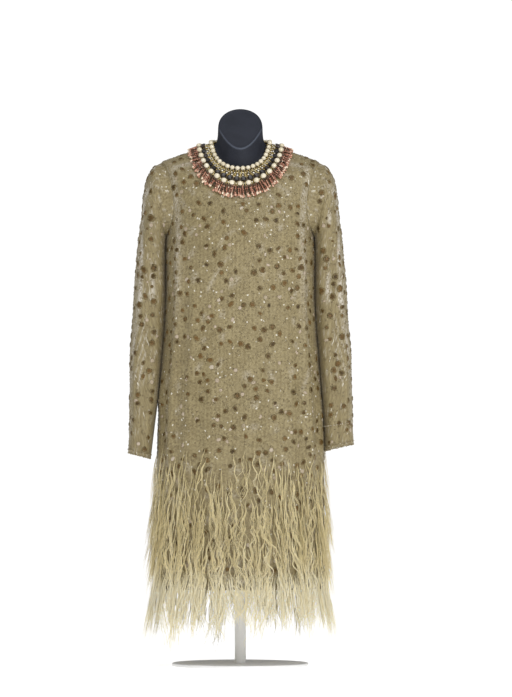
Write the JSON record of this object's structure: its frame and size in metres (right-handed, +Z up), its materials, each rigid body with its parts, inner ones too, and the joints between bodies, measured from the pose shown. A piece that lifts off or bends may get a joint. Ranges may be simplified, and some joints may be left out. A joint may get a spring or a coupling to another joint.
{
  "type": "cocktail dress on a dress form",
  "caption": "Long-sleeved beaded shift dress with a jewelled collar and feather-fringed skirt, worn by a dark limbless dress form on a low round stand.",
  "frame": {"origin": "centre of the underside of the stand's round base, on the surface it stands on", "axes": "+Z up the pole and the form; the front of the dress faces -Y; +X is the wearer's left"},
  "size_m": [0.495, 0.3104, 1.2261],
  "materials": {
    "beaded_cloth": "silk sewn over with small beads and sequins",
    "collar_beads": "pearls, stones and coral beads",
    "zip_tape": "woven tape, closed",
    "feather": "soft dyed feather strands",
    "dark_jersey": "matt stretch cover, smooth",
    "white_enamel": "satin powder coat"
  },
  "bodies": {
    "root": {"front": "beaded_cloth", "back_left": "beaded_cloth", "back_right": "beaded_cloth", "sleeve_left": "beaded_cloth", "sleeve_right": "beaded_cloth", "collar": "collar_beads", "back_zip": "zip_tape", "fringe_tier_1": "feather", "fringe_tier_2": "feather", "fringe_tier_3": "feather", "fringe_tier_4": "feather", "dress_form": "dark_jersey", "stand_base": "white_enamel", "stand_pole": "white_enamel", "stand_socket": "white_enamel"}
  },
  "joints": []
}
